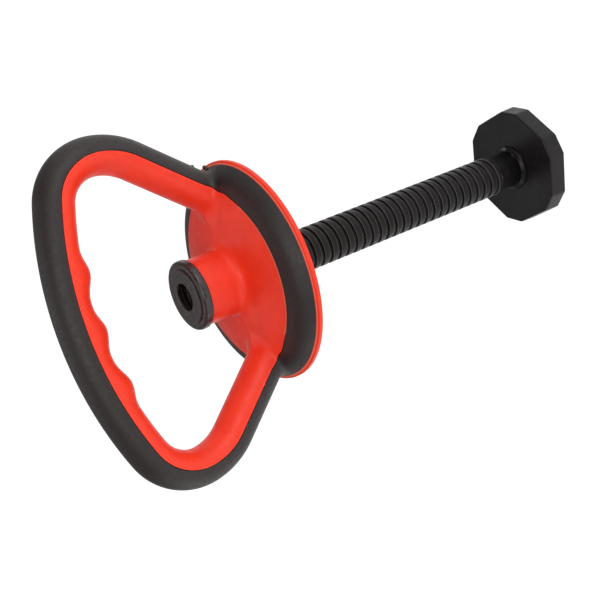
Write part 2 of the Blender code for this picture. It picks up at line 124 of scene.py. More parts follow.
def mesh_object(name, points, faces):
    """An object in metres from points in millimetres, with its faces pointing out."""
    mesh = bpy.data.meshes.new(name)
    mesh.from_pydata([(x * MM, y * MM, z * MM) for x, y, z in points], [], faces)
    shape = bmesh.new()
    shape.from_mesh(mesh)
    bmesh.ops.recalc_face_normals(shape, faces=shape.faces)
    shape.to_mesh(mesh)
    shape.free()
    made = bpy.data.objects.new(name, mesh)
    bpy.context.scene.collection.objects.link(made)
    return made


def combine(target, other, operation):
    """Applies a Boolean of the other object to the target, and removes the other."""
    step = target.modifiers.new("step", "BOOLEAN")
    step.object = other
    step.operation = operation
    step.solver = "MANIFOLD"
    graph = bpy.context.evaluated_depsgraph_get()
    mesh = bpy.data.meshes.new_from_object(target.evaluated_get(graph))
    target.modifiers.clear()
    target.data = mesh
    bpy.data.objects.remove(other, do_unlink=True)


def finished(target, look, body, slot, *nodes, sharp=32):
    """Gives a piece its shading, material and body, and hides the CAD nodes it stands for. Its slot is not
    used.
    """
    target.data.materials.clear()
    target.data.materials.append(look)
    target.data.shade_smooth()
    target.data.set_sharp_from_angle(angle=math.radians(sharp))
    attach(target, body)
    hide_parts(*nodes)


def skinned(rings):
    """Points and faces of a tube through rings of equal length, closed by a cap at each end."""
    count = len(rings[0])
    points = [point for ring in rings for point in ring]
    faces = [list(range(count)), [len(points) - count + i for i in range(count)]]
    for row in range(len(rings) - 1):
        for i in range(count):
            here = row * count + i
            beside = row * count + (i + 1) % count
            faces.append([here, beside, beside + count, here + count])
    return points, faces


def joined(parts):
    """Points and faces of several solids as one list of each."""
    points = []
    faces = []
    for more_points, more_faces in parts:
        start = len(points)
        points += more_points
        faces += [[start + i for i in face] for face in more_faces]
    return points, faces


def turned(outline, segments=SMOOTH_TURN, centre=(0.0, 0.0)):
    """Points and faces of an outline of (radius, height) turned about a vertical axis."""
    points = []
    rows = []
    for radius, height in outline:
        steps = segments if radius > 0 else 1
        rows.append([len(points) + i for i in range(steps)])
        for i in range(steps):
            angle = math.tau * i / segments
            x = centre[0] + radius * math.cos(angle)
            y = centre[1] + radius * math.sin(angle)
            points.append((x, y, height))
    faces = []
    for row, lower in enumerate(rows):
        upper = rows[(row + 1) % len(rows)]
        for i in range(segments):
            corners = []
            for ring, step in ((lower, i), (lower, i + 1), (upper, i + 1), (upper, i)):
                corner = ring[step % len(ring)]
                if corner not in corners:
                    corners.append(corner)
            if len(corners) > 2:
                faces.append(corners)
    return points, faces


def rounded(outline, radii, steps=5):
    """A closed outline of (radius, height) with a rounding given for each corner, 0 for a sharp one."""
    result = []
    count = len(outline)
    for i, corner in enumerate(outline):
        corner = Vector(corner)
        before = Vector(outline[i - 1]) - corner
        after = Vector(outline[(i + 1) % count]) - corner
        if radii[i] == 0:
            result.append(tuple(corner))
            continue
        half = before.angle(after) / 2
        reach = min(radii[i] / math.tan(half), 0.49 * before.length, 0.49 * after.length)
        start = corner + before.normalized() * reach
        end = corner + after.normalized() * reach
        for k in range(steps + 1):
            t = k / steps
            result.append(tuple(start * (1 - t) ** 2 + corner * 2 * t * (1 - t) + end * t**2))
    return result


# ---------------------------------------------------------------- fields: negative inside, in millimetres

CELL_CORNERS = [(i, j, k) for i in (0, 1) for j in (0, 1) for k in (0, 1)]


def smooth_min(a, b, width):
    """The smaller of two fields, with a fillet of about this width where they meet."""
    blend = np.clip(0.5 + 0.5 * (b - a) / width, 0, 1)
    return b + (a - b) * blend - width * blend * (1 - blend)


def smooth_max(a, b, width):
    return -smooth_min(-a, -b, width)


def arc_ends():
    """Centre, radius and headings of each arc of the +X half of the centre line, and where the arm starts."""
    x, z = 0.0, GRIP_TOP
    arcs = []
    for radius, start, end in ARCS:
        start, end = math.radians(start), math.radians(end)
        centre_x = x - radius * math.sin(start)
        centre_z = z - radius * math.cos(start)
        arcs.append((centre_x, centre_z, radius, start, end))
        x = centre_x + radius * math.sin(end)
        z = centre_z + radius * math.cos(end)
    return arcs, (x, z, end)


def outward(x, z):
    """Signed distance out from the loop's centre line in its plane."""
    side = np.abs(x)
    arcs, (arm_x, arm_z, heading) = arc_ends()
    nearest = np.full(side.shape, 1e9)
    result = np.zeros(side.shape)

    def consider(foot_x, foot_z, normal_x, normal_z):
        nonlocal nearest, result
        away_x = side - foot_x
        away_z = z - foot_z
        distance = np.hypot(away_x, away_z)
        sign = np.where(away_x * normal_x + away_z * normal_z < 0, -1.0, 1.0)
        closer = distance < nearest
        result = np.where(closer, sign * distance, result)
        nearest = np.where(closer, distance, nearest)

    for centre_x, centre_z, radius, start, end in arcs:
        angle = np.clip(np.arctan2(side - centre_x, z - centre_z), start, end)
        normal_x, normal_z = np.sin(angle), np.cos(angle)
        consider(centre_x + radius * normal_x, centre_z + radius * normal_z, normal_x, normal_z)
    along_x, along_z = math.cos(heading), -math.sin(heading)
    reach = np.clip((side - arm_x) * along_x + (z - arm_z) * along_z, 0, 2 * ARM_LENGTH)
    normal = (math.sin(heading), math.cos(heading))
    consider(arm_x + reach * along_x, arm_z + reach * along_z, *normal)
    return result


def ridge(x):
    """Height of the finger ridges at this place along the grip."""
    wave = (1 + np.cos(math.tau * x / RIDGE_SPACING)) / 2
    return np.where(np.abs(x) > 1.5 * RIDGE_SPACING, 0, RIDGE_HEIGHT * wave**1.3)


def loop_field(x, y, z):
    """An oval tube round the loop's centre line, deeper on its inner side where the finger ridges are."""
    least = 0.02  # keeps the field finite on the centre line
    out = outward(x, z)
    depth = HALF_DEPTH + np.where(out < 0, ridge(x), 0)
    size = np.hypot(y / HALF_THICKNESS, out / depth)
    slope = np.hypot(y / HALF_THICKNESS**2, out / depth**2)
    return (size - 1) * np.maximum(size, least) / np.maximum(slope, least / HALF_THICKNESS)


def dome_field(x, y, z):
    """The dome, with the boss on it in a soft fillet. The boss is left long, for the bore to trim."""
    spare = 4.0
    fillet = 5.0
    radius = np.hypot(x, y)
    dome = z - DISC_EDGE - DOME_RISE * (1 - (radius / DISC_RADIUS) ** 2)
    boss = smooth_max(radius - BOSS_RADIUS, z - BOSS_END - spare, 1.0)
    return smooth_min(dome, boss, fillet)


def band_field(x, y, z):
    """The skin's slope: a cone from the shelf to a little outside the disc's edge, bulged outwards."""
    run = DISC_RADIUS + 0.75 - BAND_RADIUS
    rise = DISC_EDGE - 0.5 - SHELF_HEIGHT
    length = math.hypot(run, rise)
    radius = np.hypot(x, y) - BAND_RADIUS
    height = z - SHELF_HEIGHT
    along = (radius * run + height * rise) / length**2
    away = (radius * rise - height * run) / length
    return away - BAND_BULGE * np.sin(math.pi * np.clip(along, 0, 1))


def red_field(x, y, z):
    """The loop and the dome. The half at +Y is a hair smaller, which leaves the mould's parting step."""
    step_width = 0.6
    far_half = np.clip(y / step_width + 0.5, 0, 1)
    whole = smooth_min(loop_field(x, y, z), dome_field(x, y, z), BLEND)
    return whole + PARTING_STEP * far_half**2 * (3 - 2 * far_half)


def black_field(x, y, z):
    return smooth_min(loop_field(x, y, z), band_field(x, y, z), BLEND)


def side_field(x, y, z):
    """Negative where the red core is: inside the loop's middle line, and within the disc's flaring edge.

    The disc widens a little towards the arms, and the loop's middle line runs out to meet its edge.
    """
    widening = 3.0
    widening_start, widening_end = 30.0, 45.0
    run_out = 1.3
    run_out_height = 6.0
    corner = 1.2
    towards_arm = np.clip((np.abs(x) - widening_start) / (widening_end - widening_start), 0, 1)
    edge = DISC_RADIUS + widening * towards_arm**2
    cone = (np.hypot(x, y) - edge - DISC_FLARE * (z - DISC_EDGE)) / math.hypot(1, DISC_FLARE)
    near_disc = np.clip(1 - (z - DISC_EDGE) / run_out_height, 0, 1)
    return smooth_max(outward(x, z) - run_out * near_disc**2, cone, corner)


def red_region(x, y, z):
    return side_field(x, y, z) + SEAM


def black_region(x, y, z):
    return SEAM - side_field(x, y, z)


def sampled(field, axes):
    """The field's value at every point of a grid with these three axes."""
    value = np.empty(tuple(len(axis) for axis in axes), np.float32)
    for i, x in enumerate(axes[0]):
        y, z = np.meshgrid(axes[1], axes[2], indexing="ij")
        value[i] = field(np.full(y.shape, x), y, z)
    return value


def close_at_walls(value, step):
    """Puts the points on the grid's own walls outside, so that the surface closes there."""
    for axis in range(3):
        wall = [slice(None)] * 3
        for end in (0, -1):
            wall[axis] = end
            value[tuple(wall)] = np.maximum(value[tuple(wall)], step / 2)


def crossed_cells(inside):
    """The grid's cells that have corners both inside and outside."""
    shape = inside.shape
    count = np.zeros(tuple(n - 1 for n in shape), np.int8)
    for i, j, k in CELL_CORNERS:
        count += inside[i : shape[0] - 1 + i, j : shape[1] - 1 + j, k : shape[2] - 1 + k]
    return (count > 0) & (count < len(CELL_CORNERS))


def cell_points(value, cells):
    """For each cell, the mean of the places where the surface crosses its edges, in cells."""
    total = np.zeros((len(cells), 3))
    hits = np.zeros(len(cells))
    for start in CELL_CORNERS:
        for axis in range(3):
            if start[axis]:
                continue
            end = list(start)
            end[axis] = 1
            a = value[tuple((cells + start).T)]
            b = value[tuple((cells + end).T)]
            crossed = (a < 0) != (b < 0)
            part = np.where(crossed, a / np.where(crossed, a - b, 1), 0)
            point = cells + start + part[:, None] * (np.array(end) - start)
            total[crossed] += point[crossed]
            hits[crossed] += 1
    return total / hits[:, None]


def cell_faces(inside, index):
    """A quad for each of the grid's edges that the surface crosses, between the four cells round it."""
    quads = []
    for axis in range(3):
        u, v = (axis + 1) % 3, (axis + 2) % 3
        lower = [slice(None)] * 3
        upper = [slice(None)] * 3
        lower[axis] = slice(0, -1)
        upper[axis] = slice(1, None)
        first = inside[tuple(lower)]
        changed = first != inside[tuple(upper)]
        for across in (u, v):
            wall = [slice(None)] * 3
            for end in (0, -1):
                wall[across] = end
                changed[tuple(wall)] = False
        where = np.argwhere(changed)
        step_u = np.eye(3, dtype=int)[u]
        step_v = np.eye(3, dtype=int)[v]
        ring = [where - step_u - step_v, where - step_v, where, where - step_u]
        quad = np.stack([index[tuple(cell.T)] for cell in ring], axis=1)
        flip = ~first[tuple(where.T)]
        quad[flip] = quad[flip][:, ::-1]
        quads.append(quad)
    return np.concatenate(quads)


def net(name, field, low, high, step):
    """A closed mesh of the surface where field is zero, with a point in each cell of a grid it crosses."""
    value = sampled(field, [np.arange(a, b + step, step) for a, b in zip(low, high)])
    close_at_walls(value, step)
    inside = value < 0
    active = crossed_cells(inside)
    cells = np.argwhere(active)
    index = np.full(active.shape, -1, np.int32)
    index[active] = np.arange(len(cells))
    points = np.array(low) + step * cell_points(value, cells)
    points = settled(field, points, step, np.array(low), np.array(high))
    mesh = bpy.data.meshes.new(name)
    mesh.from_pydata((points * MM).tolist(), [], cell_faces(inside, index).tolist())
    made = bpy.data.objects.new(name, mesh)
    bpy.context.scene.collection.objects.link(made)
    return made


def settled(field, points, step, low, high):
    """Moves points onto the field's zero surface by Newton steps, leaving those beside the grid's walls."""
    rounds = 3
    reach = 0.05  # how far apart the field is read for its slope
    held = ((points < low + 1.5 * step) | (points > high - 2.5 * step)).any(axis=1)
    for _ in range(rounds):
        x, y, z = points.T
        value = field(x, y, z)
        slope = np.stack(
            [
                field(x + reach, y, z) - field(x - reach, y, z),
                field(x, y + reach, z) - field(x, y - reach, z),
                field(x, y, z + reach) - field(x, y, z - reach),
            ],
            axis=1,
        ) / (2 * reach)
        move = slope * (value / np.maximum((slope**2).sum(axis=1), 0.05))[:, None]
        length = np.linalg.norm(move, axis=1)
        move *= np.minimum(1, 0.5 * step / np.maximum(length, 1e-9))[:, None]
        move[held] = 0
        points = points - move
    return points


# ---------------------------------------------------------------- materials


def new_material(name, colour, roughness, metallic=0.0, specular=0.5):
    """A material with this plain colour and roughness, which show wherever no nodes are linked over them."""
    made = bpy.data.materials.new(name)
    made.use_nodes = True
    shader = made.node_tree.nodes["Principled BSDF"]
    shader.inputs["Base Color"].default_value = (*colour, 1.0)
    shader.inputs["Roughness"].default_value = roughness
    shader.inputs["Metallic"].default_value = metallic
    shader.inputs["Specular IOR Level"].default_value = specular
    return made, made.node_tree, shader


def place(tree, scale=(1.0, 1.0, 1.0)):
    """The piece's own coordinates in metres, scaled."""
    source = tree.nodes.new("ShaderNodeTexCoord")
    mapping = tree.nodes.new("ShaderNodeMapping")
    mapping.inputs["Scale"].default_value = scale
    tree.links.new(source.outputs["Object"], mapping.inputs["Vector"])
    return mapping.outputs["Vector"]


def noise(tree, where, size_mm, detail=3.0, rough=0.5):
    """Noise with patches of about this size."""
    node = tree.nodes.new("ShaderNodeTexNoise")
    node.inputs["Scale"].default_value = 1 / (size_mm * MM)
    node.inputs["Detail"].default_value = detail
    node.inputs["Roughness"].default_value = rough
    tree.links.new(where, node.inputs["Vector"])
    return node.outputs["Fac"]


def spread(tree, value, low, high):
    """Maps the middle of a noise's range onto low to high."""
    node = tree.nodes.new("ShaderNodeMapRange")
    node.inputs["From Min"].default_value = 0.3
    node.inputs["From Max"].default_value = 0.7
    node.inputs["To Min"].default_value = low
    node.inputs["To Max"].default_value = high
    tree.links.new(value, node.inputs["Value"])
    return node.outputs["Result"]


def two_tone(tree, value, dark, light):
    """A colour between two others, each given as a colour or as the output of another node."""
    node = tree.nodes.new("ShaderNodeMix")
    node.data_type = "RGBA"
    for name, colour in (("A", dark), ("B", light)):
        if isinstance(colour, tuple):
            node.inputs[name].default_value = (*colour, 1.0)
        else:
            tree.links.new(colour, node.inputs[name])
    tree.links.new(value, node.inputs["Factor"])
    return node.outputs["Result"]


def bump(tree, shader, layers):
    """Stacks bumps, each a height value, its depth in millimetres and a strength."""
    normal = None
    for height, depth_mm, strength in layers:
        node = tree.nodes.new("ShaderNodeBump")
        node.inputs["Distance"].default_value = depth_mm * MM
        node.inputs["Strength"].default_value = strength
        tree.links.new(height, node.inputs["Height"])
        if normal:
            tree.links.new(normal, node.inputs["Normal"])
        normal = node.outputs["Normal"]
    tree.links.new(normal, shader.inputs["Normal"])


def worn_and_highlit_edges(tree, shader, tone, worn_and_lit_tone, low, high):
    """Colours the piece with this tone, which turns to a paler colour on its sharp convex edges: partly wear,
    partly a painted highlight along the edges.
    """
    geometry = tree.nodes.new("ShaderNodeNewGeometry")
    node = tree.nodes.new("ShaderNodeMapRange")
    node.inputs["From Min"].default_value = low
    node.inputs["From Max"].default_value = high
    tree.links.new(geometry.outputs["Pointiness"], node.inputs["Value"])
    tree.links.new(two_tone(tree, node.outputs["Result"], tone, worn_and_lit_tone), shader.inputs["Base Color"])


def highlight_ring(tree, radius, height, reach):
    """1 on a thin ring at this radius and height, as far as reach each way along X, and 0 elsewhere: the mask
    of a painted highlight along an edge.
    """
    split = tree.nodes.new("ShaderNodeSeparateXYZ")
    tree.links.new(place(tree), split.inputs["Vector"])
    away = tree.nodes.new("ShaderNodeVectorMath")
    away.operation = "LENGTH"
    tree.links.new(place(tree, (1.0, 1.0, 0.0)), away.inputs[0])
    limits = (
        (away.outputs["Value"], radius, EDGE_HIGHLIGHT_WIDTH / 2),
        (split.outputs["Z"], height, EDGE_HIGHLIGHT_WIDTH),
        (split.outputs["X"], 0.0, reach),
    )
    ring = None
    for value, middle, half in limits:
        near = tree.nodes.new("ShaderNodeMath")
        near.operation = "COMPARE"
        near.inputs[1].default_value = middle * MM
        near.inputs[2].default_value = half * MM
        tree.links.new(value, near.inputs[0])
        if ring is None:
            ring = near.outputs["Value"]
            continue
        both = tree.nodes.new("ShaderNodeMath")
        both.operation = "MULTIPLY"
        tree.links.new(ring, both.inputs[0])
        tree.links.new(near.outputs["Value"], both.inputs[1])
        ring = both.outputs["Value"]
    return ring


def red_plastic():
    """Satin plastic with a fine spark-eroded grain, painted highlights along the rim's step and the disc's
    edge, and paler sharp edges that are partly wear and partly a painted highlight.
    """
    made, tree, shader = new_material("red_satin_plastic", (0.78, 0.035, 0.012), 0.4, specular=0.3)
    where = place(tree)
    speckle = spread(tree, noise(tree, where, 12, 6, 0.75), 0, 1)
    tone = two_tone(tree, speckle, (0.72, 0.028, 0.009), (0.83, 0.040, 0.014))
    # A painted highlight: a pale ring along the edge of the rim's step, where the light catches it.
    rim_highlight = highlight_ring(tree, RIM_HIGHLIGHT_RADIUS, SHELF_HEIGHT, RIM_RADIUS)
    tone = two_tone(tree, rim_highlight, tone, (0.88, 0.17, 0.11))
    # A painted highlight along the disc's edge, short of the arms.
    disc_highlight = highlight_ring(tree, DISC_RADIUS, DISC_EDGE, DISC_HIGHLIGHT_REACH)
    tone = two_tone(tree, disc_highlight, tone, (0.86, 0.15, 0.08))
    # Sharp edges and seam edges paler: partly wear, partly a painted highlight.
    worn_and_highlit_edges(tree, shader, tone, (0.88, 0.11, 0.06), 0.52, 0.62)
    tree.links.new(spread(tree, noise(tree, where, 5, 5), 0.34, 0.48), shader.inputs["Roughness"])
    grain = noise(tree, where, 0.7, 3)
    waves = noise(tree, where, 14, 2)
    bump(tree, shader, ((waves, 0.35, 0.12), (grain, 0.05, 0.5)))
    return made


def soft_skin():
    """Soft-touch rubber with a leathery grain and a speckle of lighter rubs."""
    made, tree, shader = new_material("soft_touch_skin", (0.012, 0.007, 0.007), 0.55, specular=0.47)
    where = place(tree)
    clouds = spread(tree, noise(tree, where, 10, 4), 0, 1)
    dark = two_tone(tree, clouds, (0.0055, 0.0025, 0.0026), (0.0085, 0.0045, 0.0045))
    speckle = spread(tree, noise(tree, where, 1.5, 3, 0.8), 0, 1)
    tone = two_tone(tree, speckle, dark, (0.0190, 0.0105, 0.0102))
    shader.inputs["Sheen Weight"].default_value = 0.17
    shader.inputs["Sheen Roughness"].default_value = 0.2
    # Sharp edges and seam edges paler: partly wear, partly a painted highlight.
    worn_and_highlit_edges(tree, shader, tone, (0.06, 0.05, 0.048), 0.53, 0.60)
    tree.links.new(spread(tree, noise(tree, where, 2, 4), 0.46, 0.62), shader.inputs["Roughness"])
    grain = noise(tree, where, 1.3, 4, 0.7)
    bump(tree, shader, ((grain, 0.13, 0.85),))
    return made


def hub_plastic():
    """Brown-black moulded plastic with a mottled, slightly dusty surface."""
    made, tree, shader = new_material("hub_black_plastic", (0.016, 0.011, 0.011), 0.4, specular=0.5)
    where = place(tree)
    mottle = spread(tree, noise(tree, where, 2.4, 5, 0.7), 0, 1)
    tone = two_tone(tree, mottle, (0.0055, 0.0030, 0.0033), (0.038, 0.0250, 0.0255))
    # Sharp edges paler: partly wear, partly a painted highlight.
    worn_and_highlit_edges(tree, shader, tone, (0.085, 0.068, 0.066), 0.528, 0.56)
    tree.links.new(spread(tree, noise(tree, where, 2, 4), 0.20, 0.42), shader.inputs["Roughness"])
    grain = noise(tree, where, 0.8, 3)
    bump(tree, shader, ((mottle, 0.05, 0.4), (grain, 0.04, 0.5)))
    return made


def bolt_plastic():
    """Glossier black plastic with fine lines round the bolt, left by the mould's turning."""
    made, tree, shader = new_material("bolt_black_plastic", (0.004, 0.0034, 0.0033), 0.34, specular=0.18)
    where = place(tree)
    lines = noise(tree, place(tree, (0.04, 0.04, 1.0)), 0.85, 2)
    flow = spread(tree, noise(tree, where, 6, 5, 0.7), 0, 1)
    tone = two_tone(tree, flow, (0.0022, 0.0018, 0.0018), (0.0062, 0.0053, 0.0051))
    # The thread's crest edges paler: a painted highlight, partly wear.
    worn_and_highlit_edges(tree, shader, tone, (0.090, 0.084, 0.082), 0.520, 0.538)
    tree.links.new(spread(tree, noise(tree, where, 3.5, 4), 0.26, 0.42), shader.inputs["Roughness"])
    grain = noise(tree, where, 0.4, 2)
    bump(tree, shader, ((lines, 0.3, 0.8), (grain, 0.012, 0.4)))
    return made


def foot_plastic():
    """The bolt's plastic without its turned lines, since the foot comes from a flat mould."""
    made, tree, shader = new_material("foot_black_plastic", (0.008, 0.0068, 0.0066), 0.34, specular=0.24)
    where = place(tree)
    flow = spread(tree, noise(tree, where, 11, 6, 0.6), 0, 1)
    tone = two_tone(tree, flow, (0.0058, 0.0049, 0.0048), (0.0100, 0.0088, 0.0086))
    tree.links.new(tone, shader.inputs["Base Color"])
    tree.links.new(spread(tree, noise(tree, where, 7, 5), 0.32, 0.46), shader.inputs["Roughness"])
    waves = noise(tree, where, 16, 2)
    grain = noise(tree, where, 0.5, 2)
    bump(tree, shader, ((waves, 0.25, 0.15), (grain, 0.015, 0.4)))
    return made


def zinc_steel():
    """Pale grey plating with a fine crystal pattern and upright scratches."""
    made, tree, shader = new_material("zinc_plated_steel", (0.58, 0.58, 0.56), 0.32, metallic=1.0)
    where = place(tree)
    crystals = spread(tree, noise(tree, where, 1.8, 3), 0, 1)
    tone = two_tone(tree, crystals, (0.5, 0.5, 0.48), (0.66, 0.66, 0.65))
    tree.links.new(tone, shader.inputs["Base Color"])
    tree.links.new(spread(tree, noise(tree, where, 4, 4), 0.25, 0.42), shader.inputs["Roughness"])
    scratches = noise(tree, place(tree, (1.0, 1.0, 0.05)), 0.3, 2)
    bump(tree, shader, ((scratches, 0.01, 0.4),))
    return made


# ---------------------------------------------------------------- the handle


def handle_box(low_z):
    """Opposite corners of a box that holds the handle above this height."""
    return (-99.0, -66.0, low_z), (99.0, 66.0, 337.0)


def region(field):
    """A solid of everything on one side of the seam, to cut the handle with."""
    spare = 4
    step = 1.0
    low, high = handle_box(UNDERSIDE - 10)
    return net("cut_region", field, [v - spare for v in low], [v + spare for v in high], step)


def base_outline(gap=0.0):
    """The flange below skin and dome: rim, shelf, slope under the skin and the disc's upright edge."""
    shelf = SHELF_HEIGHT + gap
    edge = DISC_RADIUS - 0.2 + gap
    top = DISC_EDGE - 0.1
    inner = PLATE_ROOM_RADIUS + HUB_WALL
    outline = [
        (RIM_RADIUS, UNDERSIDE),
        (RIM_RADIUS, UNDERSIDE + 2.3),
        (BAND_RADIUS + 0.5, shelf),
        (SHELF_RADIUS + 0.5 * gap, shelf),
        (edge, DISC_EDGE - 3.2 + 0.6 * gap),
        (edge, top),
        (inner, top),
        (inner, BARREL_START + HUB_FLOOR),
    ]
    radii = [0.6, 0.5, 0.5, 0, 0, 0.35, 0, 0]
    return rounded(outline, radii)


def base():
    """The flange's red lower part, from the rim in to the hub, with its recess for the retaining plate."""
    inner = BORE_RADIUS - 1
    hub = [
        (inner, BARREL_START + HUB_FLOOR),
        (inner, BARREL_START),
        (PLATE_ROOM_RADIUS, BARREL_START),
        (PLATE_ROOM_RADIUS, UNDERSIDE),
    ]
    return turned(base_outline() + hub)


def pockets():
    """Hollows moulded into the flange's underside, which leave radial ribs."""
    inner = 26.5
    outer = 54.0
    outline = (
        (inner, UNDERSIDE - 1),
        (outer, UNDERSIDE - 1),
        (outer, UNDERSIDE + 2.6),
        (44.8, UNDERSIDE + 7.0),
        (inner, UNDERSIDE + 13.2),
    )
    count = 12
    rib = 3.2
    hollows = []
    for i in range(count):
        middle = math.tau * (i + 0.5) / count
        rings = []
        for side in (-1, -0.6, -0.2, 0.2, 0.6, 1):
            ring = []
            for radius, height in outline:
                angle = middle + side * (math.pi / count - math.asin(rib / 2 / radius))
                ring.append((radius * math.cos(angle), radius * math.sin(angle), height))
            rings.append(ring)
        hollows.append(skinned(rings))
    return joined(hollows)


def screw_rooms(radius, low, high):
    """Upright rods where the retaining screws go."""
    rods = []
    for i in range(SCREW_COUNT):
        angle = math.tau * (i + 0.25) / SCREW_COUNT
        centre = (SCREW_CIRCLE * math.cos(angle), SCREW_CIRCLE * math.sin(angle))
        rods.append(turned([(0, low), (radius, low), (radius, high), (0, high)], 24, centre))
    return joined(rods)


def bar_section(x, half_width, low, high):
    """The section of a bar that runs along X."""
    return [(x, -half_width, low), (x, half_width, low), (x, half_width, high), (x, -half_width, high)]


def parting_groove(side):
    """A thin bent slab that cuts the mould's parting line into the dome, from the boss to the arm's root."""
    half_width = 0.25
    depth = 0.4
    slab = 1.4
    heights = np.linspace(DISC_EDGE - 2, DISC_EDGE + 40, 800)
    rings = []
    for x in side * np.linspace(BOSS_RADIUS - 1, DISC_RADIUS - 0.45, 40):
        inside = red_field(np.full(heights.shape, x), np.zeros(heights.shape), heights) < 0
        low = heights[np.argmin(inside)] - depth
        rings.append(bar_section(x, half_width, low, low + slab))
    return skinned(rings)


def hub_bore():
    """The room for the nut, widened above the boss so that it also trims the boss to its height."""
    low = UNDERSIDE - 6
    high = BOSS_END + 11.4
    wide = 30
    return turned(
        [(0, low), (BORE_RADIUS, low), (BORE_RADIUS, BOSS_END), (wide, BOSS_END), (wide, high), (0, high)]
    )


def handle_core(look):
    """The red moulding: everything inside the seam, and the flange's lower part with its hollows."""
    low, high = handle_box(UNDERSIDE + 1)
    core = net("handle_body", red_field, low, high, FIELD_STEP)
    combine(core, region(red_region), "INTERSECT")
    for side in (-1, 1):
        combine(core, mesh_object("cut_groove", *parting_groove(side)), "DIFFERENCE")
    combine(core, mesh_object("add_base", *base()), "UNION")
    combine(core, mesh_object("cut_bore", *hub_bore()), "DIFFERENCE")
    combine(core, mesh_object("cut_pockets", *pockets()), "DIFFERENCE")
    screw_holes = screw_rooms(SCREW_ROOM_RADIUS, UNDERSIDE - 6, UNDERSIDE + 13)
    combine(core, mesh_object("cut_screws", *screw_holes), "DIFFERENCE")
    finished(core, look, "handle", "red_plastic", "handle_core")


def flash():
    """Thin torn nibs of rubber that the mould left on the loop's plane, beside the root of one arm."""
    flatness = 0.45
    steps = 6
    nibs = []
    for x, z, reach in ((65.0, 229.2, 1.2), (62.6, 222.3, 1.3), (61.2, 221.2, 1.2)):
        outline = [(0, z - reach)]
        for i in range(1, steps):
            angle = math.pi * i / steps
            outline.append((reach * math.sin(angle), z - reach * math.cos(angle)))
        outline.append((0, z + reach))
        points, faces = turned(outline, 10, (x, 0.0))
        nibs.append(([(px, flatness * py, pz) for px, py, pz in points], faces))
    return joined(nibs)


def under_skin():
    """Everything that the flange fills under the skin, with the gap between them."""
    low = UNDERSIDE - 16
    wide = RIM_RADIUS + 11.1
    outer = [(wide, low), (wide, SHELF_HEIGHT + SEAM)]
    hidden = [
        (radius, height)
        for radius, height in base_outline(SEAM)
        if PLATE_ROOM_RADIUS + 4 < radius < BAND_RADIUS - 1 and height > SHELF_HEIGHT - 0.1
    ]
    return turned(outer + hidden + [(0, DISC_EDGE - 0.1), (0, low)])


def grip_skin(look):
    """The black skin: everything outside the seam, down to the flange's slope and shelf."""
    low, high = handle_box(UNDERSIDE - 3)
    skin = net("grip_cover", black_field, low, high, FIELD_STEP)
    combine(skin, region(black_region), "INTERSECT")
    combine(skin, mesh_object("cut_under", *under_skin()), "DIFFERENCE")
    combine(skin, mesh_object("add_flash", *flash()), "UNION")
    finished(skin, look, "handle", "soft_skin", "grip_skin")


def parting_line():
    """A thin bar that cuts the fine line across the cap's face, in the loop's plane."""
    reach = 18.0
    half_width = 0.3
    depth = 0.4
    return skinned([bar_section(x, half_width, CAP_FRONT - depth, CAP_FRONT + 1) for x in (-reach, reach)])


def hub_nut(look):
    """The threaded barrel in the boss, with a bulged head that has a recess for the cap."""
    head = BOSS_END + HUB_GAP
    top = head + HEAD_HEIGHT
    barrel = 15.2
    recess = 13.0
    outline = [
        (TAP_RADIUS, BARREL_START),
        (barrel, BARREL_START),
        (barrel, head),
        (HEAD_RADIUS, head),
        (HEAD_RADIUS, top),
        (recess, top),
        (recess, head + 1.0),
        (TAP_RADIUS, head + 1.0),
    ]
    nut = mesh_object("hub_nut_body", *turned(rounded(outline, [0, 0, 0, 0.9, 2.8, 0, 0, 0], 10)))
    root = TAP_RADIUS - 0.3
    crest = THREAD_RADIUS + TAP_CLEARANCE
    tap = helix(crest, root, BARREL_START - 2 * PITCH, BOSS_END + 2 * PITCH, TAP_CLEARANCE)
    combine(nut, mesh_object("cut_tap", *tap), "DIFFERENCE")
    finished(nut, look, "handle", "black_plastic", "hub_nut")


def hub_end_cap(look):
    """A disc on the nut's head, with a hole and a hollow spigot that sits in the head's recess."""
    low = BOSS_END + HUB_GAP + 1.2
    seat = BOSS_END + HUB_GAP + HEAD_HEIGHT + 0.1
    spigot = 12.8
    hollow = 11.2
    back = CAP_FRONT - CAP_FACE
    outline = [
        (hollow, low),
        (spigot, low),
        (spigot, seat),
        (CAP_RADIUS, seat),
        (CAP_RADIUS, CAP_FRONT),
        (CAP_HOLE_RADIUS, CAP_FRONT),
        (CAP_HOLE_RADIUS, back),
        (hollow, back),
    ]
    cap = mesh_object("hub_cap", *turned(rounded(outline, [0, 0, 0, 0.1, 0.6, 0.4, 0.1, 0], 6)))
    combine(cap, mesh_object("cut_line", *parting_line()), "DIFFERENCE")
    finished(cap, look, "handle", "black_plastic", "hub_end_cap")


def nut_retaining_plate(look):
    """A flat ring under the hub, with a hole and a shallow room for the head of each screw."""
    top = PLATE_LOW + PLATE_THICKNESS
    outline = [
        (PLATE_INNER_RADIUS, PLATE_LOW),
        (PLATE_OUTER_RADIUS, PLATE_LOW),
        (PLATE_OUTER_RADIUS, top),
        (PLATE_INNER_RADIUS, top),
    ]
    plate = mesh_object("retaining_ring", *turned(rounded(outline, [0.2] * 4, 2)))
    below = PLATE_LOW - 1.3
    heads = screw_rooms(SCREW_HEAD_ROOM_RADIUS, below, PLATE_LOW + 0.7)
    shanks = screw_rooms(SCREW_ROOM_RADIUS, below, top + 1.7)
    for rooms in (heads, shanks):
        combine(plate, mesh_object("cut_holes", *rooms), "DIFFERENCE")
    finished(plate, look, "handle", "steel", "nut_retaining_plate")


# ---------------------------------------------------------------- the bolt


